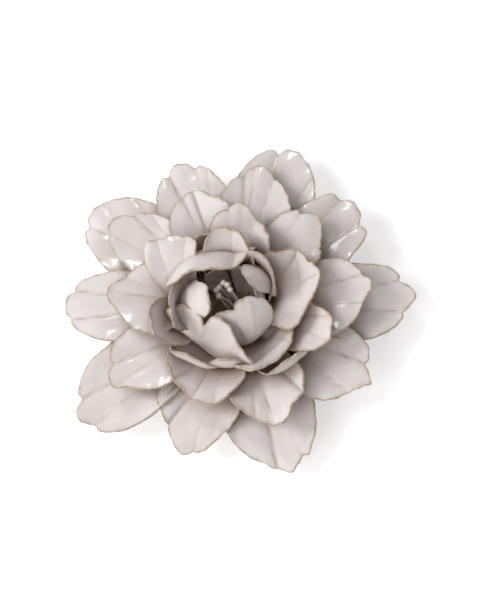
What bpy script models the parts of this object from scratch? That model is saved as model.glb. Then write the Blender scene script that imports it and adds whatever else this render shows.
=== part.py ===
"""Glazed ceramic peony: a flat foot, a domed receptacle, rows of hand-rolled petals and a few stamens.

Run with: blender --background --python part.py
Metres, +Z up. The origin is the middle of the foot's flat underside, and the flower opens upwards.
Every petal is a slab of clay of its own, pressed on the receptacle at its narrow end.
"""

import math

import bmesh
import bpy
from mathutils import Matrix, Vector
from mathutils.bvhtree import BVHTree

MM = 0.001

FOOT_RADIUS = 24
FOOT_HEIGHT = 4
RECEPTACLE_RADIUS = 17
RECEPTACLE_TOP = 20
PETAL_THICKNESS = 1.8
SEAT_GAP = 0.3
PETAL_COLUMNS = 5
PETAL_ROWS = 6
ANTHER_RADIUS = 1.25
FILAMENT_RADIUS = 0.5

FOOT_COLOUR = (0.5, 0.42, 0.35)
STAMEN_COLOUR = (0.68, 0.62, 0.6)
PETAL_COLOURS = {
    "bud": (0.72, 0.67, 0.66),
    "third": (0.7, 0.65, 0.64),
    "second": (0.68, 0.63, 0.62),
    "outer": (0.67, 0.62, 0.61),
}

# Base and tip of each stamen as (x, y) and (x, y, z), in millimetres.
STAMENS = [
    (-2.6, -0.5, -4.6, 3.6, 34.5),
    (-2.2, 2.4, -4.3, 6.8, 33),
    (0.2, 2.9, -1.9, 5.4, 37),
    (2.6, -1.2, 1.5, 4.2, 36),
    (2.3, 1.6, 0.8, 7.2, 34),
    (-0.2, -0.2, -1.6, 2, 34),
]

# What the petals of each row share. Lengths are in millimetres and angles in degrees.
#   base_radius, base_height: where the narrow end starts, inside the receptacle
#   start, end: how steeply the middle line climbs at the base and at the tip
#   claw: the narrow end as a share of the width
#   widest, shoulder: where along the petal it is widest, and where the round tip begins
#   point: how round the tip is, from 1.5 (pointed) to 3 (blunt)
#   lean: which way the tip's highest point lies from the middle, -1 to 1
#   cup_base, cup_tip: how far round the petal bends from side to side
#   roll, twist: sideways tilt of the whole petal, and how much more of it the tip has
#   sway: how far the middle line bows sideways
#   belly: how far the middle line bulges away from the straight line
ROWS = {
    "outer": dict(base_radius=14, base_height=6, start=34, end=-14, claw=0.28, widest=0.62,
                  shoulder=0.55, point=2.2, lean=0, cup_base=70, cup_tip=14, roll=0, twist=0,
                  sway=0, belly=0.36),
    "second": dict(base_radius=12, base_height=10.5, start=46, end=-6, claw=0.26, widest=0.6,
                   shoulder=0.52, point=2.2, lean=0, cup_base=84, cup_tip=28, roll=0, twist=0,
                   sway=0, belly=0.36),
    "third": dict(base_radius=9, base_height=13.5, start=55, end=20, claw=0.26, widest=0.58,
                  shoulder=0.52, point=2.2, lean=0, cup_base=100, cup_tip=50, roll=0, twist=0,
                  sway=0, belly=0.36),
    "bud": dict(base_radius=5, base_height=16.5, start=25, end=150, claw=0.3, widest=0.5,
                shoulder=0.5, point=2.4, lean=0, cup_base=120, cup_tip=110, roll=0, twist=0,
                sway=0, belly=0.5),
}


def petal(row, azimuth, reach, rise, width, **own):
    """One petal's values: its direction, how far out and how high the tip is, its width, and its own extras."""
    return {**ROWS[row], "azimuth": azimuth, "reach": reach, "rise": rise, "width": width, **own}


# Inner petals come first: each later petal is trimmed to lie clear of the ones above it.
PETALS = {
    "bud_petal_1": petal("bud", 122, 14, 36, 12, base_radius=5, start=35, end=110, cup_tip=70),
    "bud_petal_2": petal("bud", 65, 14, 37, 14, base_radius=5, start=35, end=110, cup_tip=70),
    "bud_petal_3": petal("bud", 8, 12, 36, 15, base_radius=5, start=35, end=110, cup_tip=70),
    "bud_petal_4": petal("bud", 98, 9, 46, 36, base_radius=6, belly=0.56, cup_tip=125, point=2.8),
    "bud_petal_5": petal("bud", 176, 7, 45, 25, base_radius=6, belly=0.56, end=155),
    "bud_petal_6": petal("bud", 24, 11, 44, 21, end=135, cup_tip=95),
    "bud_petal_7": petal("bud", -46, 9, 43, 26, end=140),
    "bud_petal_8": petal("bud", -110, 11, 43, 42, base_radius=7, base_height=14, belly=0.62, end=130,
                         cup_tip=80, lean=-0.1),
    "bud_petal_9": petal("bud", 168, 25, 40, 22, base_height=14, start=20, end=95, belly=0.4),
    "bud_petal_10": petal("bud", 42, 25, 44, 32, base_height=14, start=20, end=88, belly=0.4),
    "bud_petal_11": petal("bud", 88, 29, 42, 28, base_height=14, start=25, end=70, belly=0.4),
    "bud_petal_12": petal("bud", 112, 29, 38, 20, base_height=13, start=25, end=80, belly=0.4),
    "third_petal_1": petal("third", -46, 35, 36, 36, base_height=14, start=35, end=50, cup_tip=80),
    "third_petal_2": petal("third", 148, 43, 40, 30, base_height=14.5, end=25, point=1.9),
    "third_petal_3": petal("third", 82, 42, 34, 28, end=10),
    "third_petal_4": petal("third", 8, 39, 38, 32, end=25),
    "third_petal_5": petal("third", -92, 28, 34, 22, end=85, start=15),
    "third_petal_6": petal("third", -130, 31, 34, 28, end=80, start=15),
    "third_petal_7": petal("third", -166, 33, 36, 20, end=75, start=15),
    "third_petal_8": petal("third", -22, 46, 32, 24, base_height=12, end=20),
    "third_petal_9": petal("third", -42, 42, 32, 27, base_height=11, start=20, end=75),
    "third_petal_10": petal("third", -69, 56, 25, 31, base_height=10.5, start=22, end=8),
    "third_petal_11": petal("third", -113, 44, 25, 33, base_height=10.5, start=15, end=25),
    "second_petal_1": petal("second", 2, 59, 25, 35),
    "second_petal_2": petal("second", 44, 50, 26, 28, point=3),
    "second_petal_3": petal("second", 79, 63, 21, 33, point=2),
    "second_petal_4": petal("second", 111, 54, 28, 29),
    "second_petal_5": petal("second", 142, 67, 24, 29),
    "second_petal_6": petal("second", 173, 55, 28, 33, point=2),
    "second_petal_7": petal("second", -151, 60, 22, 31),
    "outer_petal_1": petal("outer", 39, 66, 16, 32, base_height=9, point=3),
    "outer_petal_2": petal("outer", 112, 72, 16, 33, base_height=9),
    "outer_petal_3": petal("outer", 175, 78, 15, 32, base_height=9),
    "outer_petal_4": petal("outer", -112, 66, 14, 37, base_height=9, point=1.7),
    "outer_petal_5": petal("outer", -32, 65, 16, 34, base_height=9, point=2.8),
    "outer_petal_6": petal("outer", 73, 75, 12, 38, point=2.8),
    "outer_petal_7": petal("outer", 143, 84, 11, 38),
    "outer_petal_8": petal("outer", -149, 82, 10, 39, lean=0.1),
    "outer_petal_9": petal("outer", -74, 73, 10, 40, point=1.9, lean=0.2),
    "outer_petal_10": petal("outer", 1, 76, 12, 36, point=1.8),
}


def middle_line(shape, t):
    """(radius, height, climb) at t along the petal's middle line, a cubic curve from the receptacle to the tip."""
    foot = Vector((shape["base_radius"], shape["base_height"]))
    tip = Vector((shape["reach"], shape["rise"]))
    handle = shape["belly"] * (tip - foot).length
    start, end = math.radians(shape["start"]), math.radians(shape["end"])
    a = foot
    b = foot + handle * Vector((math.cos(start), math.sin(start)))
    c = tip - handle * Vector((math.cos(end), math.sin(end)))
    s = 1 - t
    at = s**3 * a + 3 * s * s * t * b + 3 * s * t * t * c + t**3 * tip
    along = 3 * s * s * (b - a) + 6 * s * t * (c - b) + 3 * t * t * (tip - c)
    return at.x, at.y, math.atan2(along.y, along.x)


def petal_point(shape, across, along):
    """The middle surface at across (-1 to 1, leftwards seen from the axis) and along (0 at the base, 1 at the rim)."""
    lean = shape["lean"]
    aside = (across - lean) / (1 - lean if across > lean else 1 + lean)
    power = shape["point"]
    drop = 1 - (1 - min(1, abs(aside)) ** power) ** (1 / power)
    t = along * (1 - (1 - shape["shoulder"]) * drop)
    radius, height, climb = middle_line(shape, t)
    opening = math.sin(0.5 * math.pi * min(1, t / shape["widest"]))
    half = 0.5 * shape["width"] * (shape["claw"] + (1 - shape["claw"]) * opening)
    bend = math.radians(shape["cup_base"] + (shape["cup_tip"] - shape["cup_base"]) * t)
    turn = 0.5 * bend * across
    sideways = half * math.sin(turn) / (0.5 * bend)
    inward = half * (1 - math.cos(turn)) / (0.5 * bend)
    roll = math.radians(shape["roll"] + shape["twist"] * t)
    y = sideways * math.cos(roll) - inward * math.sin(roll) + shape["sway"] * 4 * t * (1 - t)
    lift = sideways * math.sin(roll) + inward * math.cos(roll)
    return Vector((radius - lift * math.sin(climb), y, height + lift * math.cos(climb)))


def petal_mesh(name):
    """The open middle surface of one petal, turned to its direction."""
    shape = PETALS[name]
    sheet = bmesh.new()
    bmesh.ops.create_grid(sheet, x_segments=PETAL_COLUMNS, y_segments=PETAL_ROWS, size=1)
    for vert in sheet.verts:
        vert.co = petal_point(shape, vert.co.x, 0.5 * (vert.co.y + 1)) * MM
    bmesh.ops.rotate(sheet, verts=sheet.verts, cent=(0, 0, 0),
                     matrix=Matrix.Rotation(math.radians(shape["azimuth"]), 3, "Z"))
    mesh = bpy.data.meshes.new(name)
    sheet.to_mesh(mesh)
    sheet.free()
    return mesh


def new_collection(name, is_helper=False):
    collection = bpy.data.collections.new(name)
    bpy.context.scene.collection.children.link(collection)
    collection.hide_render = is_helper
    return collection


def glaze(name, colour, roughness=0.12):
    material = bpy.data.materials.new(name)
    material.use_nodes = True
    shader = material.node_tree.nodes["Principled BSDF"]
    shader.inputs["Base Color"].default_value = (*colour, 1)
    shader.inputs["Roughness"].default_value = roughness
    shader.inputs["Metallic"].default_value = 0
    return material


def add_object(name, mesh, collection, material=None):
    thing = bpy.data.objects.new(name, mesh)
    collection.objects.link(thing)
    if material:
        mesh.materials.append(material)
    return thing


def turned(name, profile, collection, material=None, steps=36):
    """A solid of revolution from (radius, height) pairs that run down its outer side, in millimetres."""
    outline = bmesh.new()
    verts = [outline.verts.new((radius * MM, 0, height * MM)) for radius, height in profile]
    for upper, lower in zip(verts, verts[1:]):
        outline.edges.new((upper, lower))
    mesh = bpy.data.meshes.new(name)
    outline.to_mesh(mesh)
    outline.free()
    thing = add_object(name, mesh, collection, material)
    screw = thing.modifiers.new("turn", "SCREW")
    screw.steps = steps
    screw.render_steps = steps
    screw.use_merge_vertices = True
    screw.merge_threshold = 0.00001
    return thing


def receptacle_profile(grow=0):
    """The dome's outline: straight sides that round over to a small flat top."""
    side = [(RECEPTACLE_RADIUS, FOOT_HEIGHT + 4), (15.6, 12), (13, 15.5), (9.5, 18.2), (5.5, RECEPTACLE_TOP)]
    outline = [(0, RECEPTACLE_TOP + grow)]
    outline += [(radius + grow, height + grow) for radius, height in reversed(side)]
    outline += [(RECEPTACLE_RADIUS + grow, FOOT_HEIGHT + SEAT_GAP - grow), (0, FOOT_HEIGHT + SEAT_GAP - grow)]
    return outline


def baked(thing, name, collection):
    """A copy of the object's mesh with its modifiers applied, as an object of its own."""
    bpy.context.view_layer.update()
    graph = bpy.context.evaluated_depsgraph_get()
    mesh = bpy.data.meshes.new_from_object(thing.evaluated_get(graph))
    mesh.name = name
    return add_object(name, mesh, collection)


def petal_slab(name, collection):
    """A petal's closed solid, as triangles."""
    thing = add_object(name + "_sheet", petal_mesh(name), collection)
    solidify = thing.modifiers.new("clay", "SOLIDIFY")
    solidify.thickness = PETAL_THICKNESS * MM
    solidify.offset = 0
    slab = baked(thing, name, collection)
    bpy.data.objects.remove(thing)
    clay = bmesh.new()
    clay.from_mesh(slab.data)
    bmesh.ops.triangulate(clay, faces=clay.faces, quad_method="FIXED")
    clay.to_mesh(slab.data)
    clay.free()
    return slab


def swollen(slab, gap, collection):
    """A copy of a closed solid with every face moved outwards, which cuts its neighbours clear of it."""
    clay = bmesh.new()
    clay.from_mesh(slab.data)
    clay.normal_update()
    moves = [vert.normal * min(2.5, vert.calc_shell_factor()) * gap * MM for vert in clay.verts]
    for vert, move in zip(clay.verts, moves):
        vert.co += move
    mesh = bpy.data.meshes.new(slab.name + "_cutter")
    clay.to_mesh(mesh)
    clay.free()
    return add_object(mesh.name, mesh, collection)


def island_volume(faces):
    return sum(face.verts[0].co.dot(face.verts[1].co.cross(face.verts[2].co)) for face in faces) / 6


def keep_largest(mesh):
    """Drops the crumbs that trimming leaves, and returns the volume that stays."""
    if not mesh.polygons:
        return 0
    clay = bmesh.new()
    clay.from_mesh(mesh)
    bmesh.ops.triangulate(clay, faces=clay.faces)
    left = set(clay.faces)
    islands = []
    while left:
        island = {left.pop()}
        fresh = set(island)
        while fresh:
            sides = {edge for face in fresh for edge in face.edges if len(edge.link_faces) == 2}
            fresh = {face for edge in sides for face in edge.link_faces} - island
            island |= fresh
        left -= island
        islands.append(island)
    islands.sort(key=island_volume)
    volume = island_volume(islands[-1])
    bmesh.ops.delete(clay, geom=[face for island in islands[:-1] for face in island], context="FACES")
    clay.to_mesh(mesh)
    clay.free()
    return volume


def surface_tree(thing):
    clay = bmesh.new()
    clay.from_mesh(thing.data)
    tree = BVHTree.FromBMesh(clay)
    clay.free()
    return tree


def is_closed(mesh):
    clay = bmesh.new()
    clay.from_mesh(mesh)
    closed = all(edge.is_manifold for edge in clay.edges)
    clay.free()
    return closed


def cut_once(thing, cutter, solver, collection):
    """(object, volume left) after one Boolean difference, with the crumbs dropped."""
    cut = thing.modifiers.new(cutter.name, "BOOLEAN")
    cut.operation = "DIFFERENCE"
    cut.solver = solver
    cut.object = cutter
    result = baked(thing, thing.name, collection)
    thing.modifiers.clear()
    return result, keep_largest(result.data)


def trim(slab, cutters, collection):
    """(object, share kept): the slab cut clear of every cutter that its surface meets."""
    whole = keep_largest(slab.data)
    left = whole
    for cutter, cutter_tree in cutters:
        if not surface_tree(slab).overlap(cutter_tree):
            continue
        result, volume = cut_once(slab, cutter, "EXACT", collection)
        if not is_closed(result.data) or not 0.5 * left < volume < left:
            bpy.data.objects.remove(result)
            result, volume = cut_once(slab, cutter, "MANIFOLD", collection)
        bpy.data.objects.remove(slab)
        slab = result
        left = volume
    return slab, left / whole


def add_petals(parts, helpers):
    """Each petal in turn, trimmed by the receptacle and by the petals above it."""
    dome = turned("receptacle_clearance", receptacle_profile(SEAT_GAP), helpers)
    cutter = baked(dome, "receptacle_cutter", helpers)
    cutters = [(cutter, surface_tree(cutter))]
    for name, shape in PETALS.items():
        slab = petal_slab(name, helpers)
        cutter = swollen(slab, SEAT_GAP, helpers)
        trimmed, share = trim(slab, cutters, parts)
        trimmed.name = name
        trimmed.data.name = name
        trimmed.data.materials.clear()
        trimmed.data.materials.append(glaze(name + "_glaze", PETAL_COLOURS[name.split("_")[0]]))
        print(f"{name}: {len(trimmed.data.polygons)} triangles, {share:.3f} of it kept")
        cutters.append((cutter, surface_tree(cutter)))


def add_stamens(parts, helpers):
    """Thin filaments that lean together, each with a round anther."""
    for index, (base_x, base_y, tip_x, tip_y, tip_z) in enumerate(STAMENS, 1):
        name = f"stamen_{index}"
        foot = Vector((base_x, base_y, RECEPTACLE_TOP + SEAT_GAP)) * MM
        tip = Vector((tip_x, tip_y, tip_z)) * MM
        stalk = bmesh.new()
        bmesh.ops.create_cone(stalk, cap_ends=True, segments=10, radius1=FILAMENT_RADIUS * 1.4 * MM,
                              radius2=FILAMENT_RADIUS * MM, depth=(tip - foot).length)
        bmesh.ops.rotate(stalk, verts=stalk.verts, cent=(0, 0, 0),
                         matrix=(tip - foot).to_track_quat("Z", "Y").to_matrix())
        bmesh.ops.translate(stalk, verts=stalk.verts, vec=0.5 * (foot + tip))
        for vert in stalk.verts:
            vert.co.z = max(vert.co.z, foot.z)
        mesh = bpy.data.meshes.new(name)
        stalk.to_mesh(mesh)
        stalk.free()
        stamen = add_object(name, mesh, parts, glaze(name + "_glaze", STAMEN_COLOUR, 0.2))
        ball = bmesh.new()
        bmesh.ops.create_uvsphere(ball, u_segments=12, v_segments=8, radius=ANTHER_RADIUS * MM)
        bmesh.ops.translate(ball, verts=ball.verts, vec=tip)
        mesh = bpy.data.meshes.new(name + "_anther")
        ball.to_mesh(mesh)
        ball.free()
        anther = add_object(name + "_anther", mesh, helpers)
        join = stamen.modifiers.new("anther", "BOOLEAN")
        join.operation = "UNION"
        join.solver = "EXACT"
        join.object = anther


def main():
    for thing in list(bpy.data.objects):
        bpy.data.objects.remove(thing)
    parts = new_collection("ceramic_peony")
    helpers = new_collection("cutters", is_helper=True)
    foot_profile = [(0, FOOT_HEIGHT), (FOOT_RADIUS - 0.6, FOOT_HEIGHT), (FOOT_RADIUS, FOOT_HEIGHT - 0.6),
                    (FOOT_RADIUS, 0.6), (FOOT_RADIUS - 0.6, 0), (0, 0)]
    turned("foot", foot_profile, parts, glaze("bare_clay", FOOT_COLOUR, 0.7))
    turned("receptacle", receptacle_profile(), parts, glaze("receptacle_glaze", STAMEN_COLOUR))
    add_petals(parts, helpers)
    add_stamens(parts, helpers)
    for thing in helpers.objects:
        thing.hide_render = True
        thing.display_type = "WIRE"
    for thing in parts.objects:
        thing.data.shade_smooth()
        thing.data.set_sharp_from_angle(angle=math.radians(40))


if __name__ == "__main__":
    main()
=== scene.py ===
import math
from bisect import bisect

import bmesh
import bpy
from mathutils import Matrix, Vector, kdtree, noise
from mathutils.bvhtree import BVHTree


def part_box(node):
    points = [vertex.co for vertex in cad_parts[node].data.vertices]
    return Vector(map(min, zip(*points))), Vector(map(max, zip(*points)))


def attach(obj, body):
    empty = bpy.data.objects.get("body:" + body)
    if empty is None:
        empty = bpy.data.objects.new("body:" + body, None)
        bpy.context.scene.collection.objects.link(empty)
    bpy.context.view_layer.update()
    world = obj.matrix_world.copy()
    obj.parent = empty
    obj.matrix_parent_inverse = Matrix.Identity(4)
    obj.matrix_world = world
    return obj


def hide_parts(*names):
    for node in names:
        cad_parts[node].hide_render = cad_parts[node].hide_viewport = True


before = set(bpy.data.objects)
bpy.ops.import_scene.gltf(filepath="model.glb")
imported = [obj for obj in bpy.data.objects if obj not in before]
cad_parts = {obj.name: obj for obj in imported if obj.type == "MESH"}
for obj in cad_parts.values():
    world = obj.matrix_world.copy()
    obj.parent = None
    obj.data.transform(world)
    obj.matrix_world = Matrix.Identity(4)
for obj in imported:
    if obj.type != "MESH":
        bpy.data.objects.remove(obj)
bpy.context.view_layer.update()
scene = bpy.context.scene
mm = 0.001  # shapes are written in millimetres and kept in metres

view = {"tilt": 20, "side": -52, "distance": 0.714, "lens": 100, "sensor": 36, "target": (0, 0, 0.015),
        "slide": (0.0012, 0.006)}


def addCamera(look):
    # once aimed, it slides right and up by a share of its distance, so that the target lands off the middle
    tilt, side = math.radians(look["tilt"]), math.radians(look["side"])
    back = Vector((math.sin(tilt) * math.cos(side), math.sin(tilt) * math.sin(side), math.cos(tilt)))
    up = Vector((0, 1, 0)) - back * back.y
    up.normalize()
    right = up.cross(back)
    aside = right * look["slide"][0] + up * look["slide"][1]
    spot = Vector(look["target"]) + (back + aside) * look["distance"]
    data = bpy.data.cameras.new("camera")
    data.lens = look["lens"]
    data.sensor_width = look["sensor"]
    camera = bpy.data.objects.new("camera", data)
    scene.collection.objects.link(camera)
    camera.matrix_world = Matrix.Translation(spot) @ Matrix((right, up, back)).transposed().to_4x4()
    scene.camera = camera
    print("camera set")


def addNode(tree, kind, **settings):
    node = tree.nodes.new("ShaderNode" + kind)
    for name, value in settings.items():
        setattr(node, name, value)
    return node


def feed(tree, node, **values):
    # each value is a number, a colour, or the output that feeds the socket of that name or number
    for name, value in values.items():
        socket = node.inputs[int(name[1:])] if name[1:].isdigit() else node.inputs[name.replace("_", " ")]
        if isinstance(value, bpy.types.NodeSocket):
            tree.links.new(value, socket)
        elif isinstance(value, tuple) and len(value) == 3 and socket.type == "RGBA":
            socket.default_value = (*value, 1)
        else:
            socket.default_value = value
    return node


def maths(tree, operation, first, second=0.0, third=0.0, clamp=False):
    node = addNode(tree, "Math", operation=operation, use_clamp=clamp)
    return feed(tree, node, s0=first, s1=second, s2=third).outputs[0]


def ramp(tree, value, low, high, fromValue=0.0, toValue=1.0):
    node = addNode(tree, "MapRange", interpolation_type="SMOOTHSTEP")
    feed(tree, node, Value=value, From_Min=low, From_Max=high, To_Min=fromValue, To_Max=toValue)
    return node.outputs[0]


def mixColour(tree, share, first, second):
    node = addNode(tree, "Mix", data_type="RGBA")
    return feed(tree, node, s0=share, s6=first, s7=second).outputs[2]


def grain(tree, position, scale, detail=2, roughness=0.5):
    # nearly all its values lie between 0.3 and 0.7, so the ramps that follow it start and end near those
    node = addNode(tree, "TexNoise")
    return feed(tree, node, Vector=position, Scale=scale, Detail=detail, Roughness=roughness).outputs[0]


def linear(*shades):
    # a colour as it is read off a screen, 0 to 255, in the renderer's own scale
    shares = [shade / 255 for shade in shades]
    return tuple(share / 12.92 if share < 0.04 else ((share + 0.055) / 1.055) ** 2.4 for share in shares)


bumpDepth = 0.2 * mm
# the scales are in grains to the metre, and rimWidth in millimetres; it wanders between rimWander times as
# wide, and bareBand and thinBand are where the bare clay and the thin glaze end, in rim widths from the rim
glazeLook = {
    "body": linear(216, 207, 204), "thick": linear(226, 219, 218), "thin": linear(203, 187, 174),
    "clay": linear(196, 180, 163), "clayDark": linear(163, 144, 124), "pool": linear(160, 136, 116),
    # deep is the brown of painted shade in the hollows and towards the petals' bases
    "deep": linear(124, 98, 82), "stamen": linear(248, 240, 230),
    "rimWidth": 0.42, "rimWander": (0.45, 1.55), "bareBand": (0.75, 1.35), "thinBand": (1, 4.2),
    "roughness": 0.17, "uneven": 0.08, "clayRoughness": 0.6, "veil": 0.1, "pooling": 0.62, "fading": 0.42,
    "mottleScale": 38, "speckScale": 420, "rimScale": 260, "rippleScale": 150, "ripple": 0.6, "grit": 0.5,
}


def newGroup(name, inputs, outputs):
    group = bpy.data.node_groups.new(name, "ShaderNodeTree")
    for label, kind, value in inputs:
        socket = group.interface.new_socket(label, in_out="INPUT", socket_type="NodeSocket" + kind)
        if value is not None:
            socket.default_value = (*value, 1) if kind == "Color" else value
    for label, kind in outputs:
        group.interface.new_socket(label, in_out="OUTPUT", socket_type="NodeSocket" + kind)
    return group, group.nodes.new("NodeGroupInput"), group.nodes.new("NodeGroupOutput")


def glazeOverClay(look):
    # glaze that drew back from the rims, thinned beside them and pooled in the creases, darkened by painted
    # shade in the hollows
    group, given, made = newGroup("glazeOverClay", [
        ("Position", "Vector", None), ("Rim Distance", "Float", 9.0), ("Crease", "Float", 0.0),
        ("Depth", "Float", 0.0), ("Glaze", "Color", look["body"]), ("Rim Width", "Float", look["rimWidth"]),
    ], [("Colour", "Color"), ("Roughness", "Float"), ("Height", "Float")])
    get = given.outputs
    position = get["Position"]
    broad = grain(group, position, look["mottleScale"])
    fine = grain(group, position, look["speckScale"], 3, 0.6)
    mottled = mixColour(group, ramp(group, broad, 0.35, 0.68), get["Glaze"], look["thick"])
    veil = maths(group, "MULTIPLY", ramp(group, fine, 0.42, 0.7), look["veil"])
    veiled = mixColour(group, veil, mottled, look["thin"])
    # painted shade: mixes towards the deep brown as far as its input says
    paintedDark = mixColour(group, get["Depth"], veiled, look["deep"])
    pooled = mixColour(group, maths(group, "MULTIPLY", get["Crease"], look["pooling"]), paintedDark, look["pool"])
    wander = ramp(group, grain(group, position, look["rimScale"]), 0.25, 0.75, *look["rimWander"])
    edge = maths(group, "MULTIPLY", get["Rim Width"], wander)
    distance = maths(group, "DIVIDE", get["Rim Distance"], edge)
    bare = ramp(group, distance, *look["bareBand"], 1, 0)
    faded = ramp(group, distance, *look["thinBand"], look["fading"], 0)
    breaking = mixColour(group, faded, pooled, look["thin"])
    clay = mixColour(group, ramp(group, fine, 0.35, 0.65), look["clay"], look["clayDark"])
    group.links.new(mixColour(group, bare, breaking, clay), made.inputs["Colour"])
    smooth = maths(group, "MULTIPLY_ADD", fine, look["uneven"], look["roughness"] - look["uneven"] / 2)
    rough = maths(group, "MULTIPLY", bare, look["clayRoughness"] - look["roughness"])
    group.links.new(maths(group, "ADD", smooth, rough, clamp=True), made.inputs["Roughness"])
    ripple = maths(group, "MULTIPLY", grain(group, position, look["rippleScale"]), look["ripple"])
    grit = maths(group, "MULTIPLY", maths(group, "MULTIPLY", fine, bare), look["grit"])
    group.links.new(maths(group, "ADD", ripple, grit), made.inputs["Height"])
    return group


def newMaterial(name):
    material = bpy.data.materials.new(name)
    material.use_nodes = True
    return material, material.node_tree


def glazeMaterial(name, group, bump, body, **values):
    # a value given as text is the name of the mesh attribute that it follows
    material, tree = newMaterial(name)
    effect = addNode(tree, "Group", node_tree=group)
    feed(tree, effect, Position=addNode(tree, "TexCoord").outputs["Object"], Glaze=body)
    for label, value in values.items():
        if isinstance(value, str):
            value = addNode(tree, "Attribute", attribute_type="GEOMETRY", attribute_name=value).outputs["Fac"]
        feed(tree, effect, **{label: value})
    made = effect.outputs
    relief = feed(tree, addNode(tree, "Bump"), Strength=bump, Distance=bumpDepth, Height=made["Height"])
    feed(tree, tree.nodes["Principled BSDF"], Base_Color=made["Colour"], Roughness=made["Roughness"],
         Normal=relief.outputs[0], Metallic=0.0)
    return material


def addPiece(name, mesh, material, node):
    piece = bpy.data.objects.new(name, mesh)
    scene.collection.objects.link(piece)
    mesh.materials.append(material)
    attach(piece, "root")
    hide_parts(node)
    return piece


def meshOf(body, name):
    mesh = bpy.data.meshes.new(name)
    body.to_mesh(mesh)
    body.free()
    mesh.shade_smooth()
    return mesh


# columns run round the petal and rows along it, crowding towards the rim, and gridEnd is just short of the
# grid's edge at 1; clay is how thick the petal is, and rimShare how much of that is left at the rim, thinned
# over the last millimetres; edgeBand is how far from the rim its lobes reach
petalMake = {"columns": 56, "rows": 30, "crowding": 1.5, "gridEnd": 0.999, "clay": 1.5, "rimShare": 0.52,
             "thinning": 6, "edgeBand": 12, "frayScale": 14, "fraySlice": 3.3}
# the point low on the petal that cuts head for: this share of the rim's place across, and of the length
cutAim, creaseAim = (0.15, 0.3), (0.1, 0.2)
# a notch runs in by its width and reach times its depth, and taper is how fast it closes from its middle
notchMake = {"reach": 4, "taper": 1.4}
# how the hollows that get painted shade are found: rays from each place, how far they go, how much they
# lean to the sky, how far their fan turns from one place to the next, and how flat a ray may be; then how
# closed in an upper or an under face is where the painted shade starts and where it is darkest
paintedShadeLook = {"rays": 14, "reach": 34, "lift": 0.7, "sky": 0.9, "fanTurn": 1.7, "flattest": 0.1,
              "above": (0.18, 0.78), "below": (0.7, 1.3), "power": 0.8, "smoothing": 3,
              # base, baseReach and basePower: painted shade that darkens each petal towards its base, over
              # this share of its length
              "base": 0.2, "baseReach": 0.8, "basePower": 1.2}
goldenAngle = 2.4  # radians; rays that each turn by this spread evenly
# a crease is a narrow valley in a broad one, spread times as wide, and its mark is a line of pooled glaze
creaseLook = {"narrow": 0.8, "broad": 1.2, "spread": 4.5, "lip": 1.1, "lipReach": 4, "line": 0.5,
              "fullDepth": 0.5}
# slow waves are as long across and along as waveSize says, and a ruffle keeps within rimBand of the rim;
# veins fan out from veinFan of their spread at the base, and deepen by veinGrowth times the way up
unevenness = {"waveSize": (11, 13), "wave": 1.12, "ruffleSize": 4.5, "ruffle": 0.55, "rimBand": 7,
              "veins": 5, "veinDepth": 0.04, "veinWidth": 0.9, "veinSpread": 0.85, "veinWander": 0.12,
              "veinFan": 0.25, "veinGrowth": 1.4, "veinStart": 0.2, "seedStep": 3.7, "ruffleSeed": 40}

rows = {
    "outer": dict(baseRadius=14, baseHeight=6, start=32, end=-2, claw=0.28, widest=0.62, shoulder=0.55,
                  point=2.2, cupBase=70, cupTip=14, belly=0.36),
    "second": dict(baseRadius=12, baseHeight=10.5, start=44, end=4, claw=0.26, widest=0.6, shoulder=0.52,
                   point=2.2, cupBase=84, cupTip=28, belly=0.36),
    "third": dict(baseRadius=9, baseHeight=13.5, start=55, end=20, claw=0.26, widest=0.58, shoulder=0.52,
                  point=2.2, cupBase=100, cupTip=50, belly=0.36),
    "bud": dict(baseRadius=5, baseHeight=16.5, start=25, end=150, claw=0.3, widest=0.5, shoulder=0.5,
                point=2.4, cupBase=120, cupTip=110, belly=0.5),
}
handWork = dict(lean=0, slide=(0, 0), edge=((0, 0),), notches=(), creases=(), folds=(), fray=0.28, curl=0.2)


def petal(row, azimuth, reach, rise, width, **own):
    # start and end: how steeply the middle line leaves the base and arrives at the tip; belly: how full it is
    # claw, widest, shoulder, point and lean shape the outline; cupBase and cupTip: how far round it is bent
    # slide: how far the base and the tip lie to the left of the petal's direction
    # edge: how far the rim stands out at places round it, from -1 at the right shoulder to 1 at the left one
    # notches: place, depth and width; creases: place, reach, depth, width and how far one lip stands up
    # folds: where the fold crosses, its direction, how tight it is, and how far it turns, upwards if positive
    return {**rows[row], **handWork, "azimuth": azimuth, "reach": reach, "rise": rise, "width": width, **own}


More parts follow.
